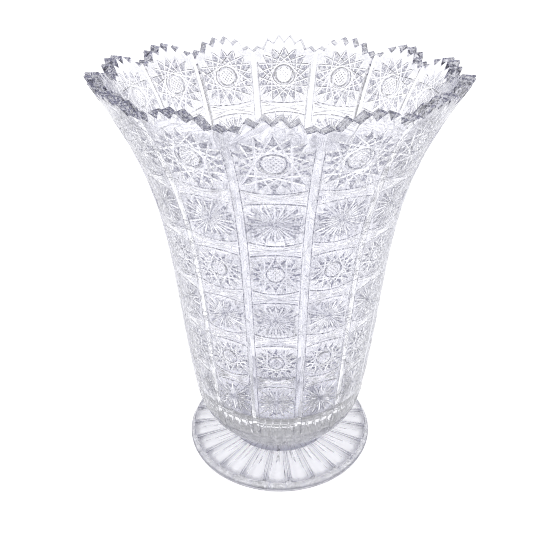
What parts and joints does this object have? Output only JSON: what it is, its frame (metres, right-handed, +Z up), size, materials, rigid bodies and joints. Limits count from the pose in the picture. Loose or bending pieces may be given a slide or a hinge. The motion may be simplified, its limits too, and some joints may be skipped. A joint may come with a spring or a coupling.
{
  "type": "cut crystal vase",
  "caption": "Tall flared cut crystal vase with a scalloped, saw-toothed rim on a fluted round foot.",
  "frame": {"origin": "centre of the foot's underside, on the surface the vase stands on", "axes": "+Z up along the vase's axis; a panel of the bowl and a flute of the foot are centred on the -Y side"},
  "size_m": [0.243, 0.2472, 0.305],
  "materials": {
    "cut_crystal": "polished lead crystal, cut all over, clear with a faint grey-lavender cast",
    "clear_adhesive": "clear cured adhesive",
    "foot_crystal": "polished lead crystal, fluted on its upper side"
  },
  "bodies": {
    "root": {"bowl": "cut_crystal", "bond_film": "clear_adhesive", "foot": "foot_crystal"}
  },
  "joints": []
}
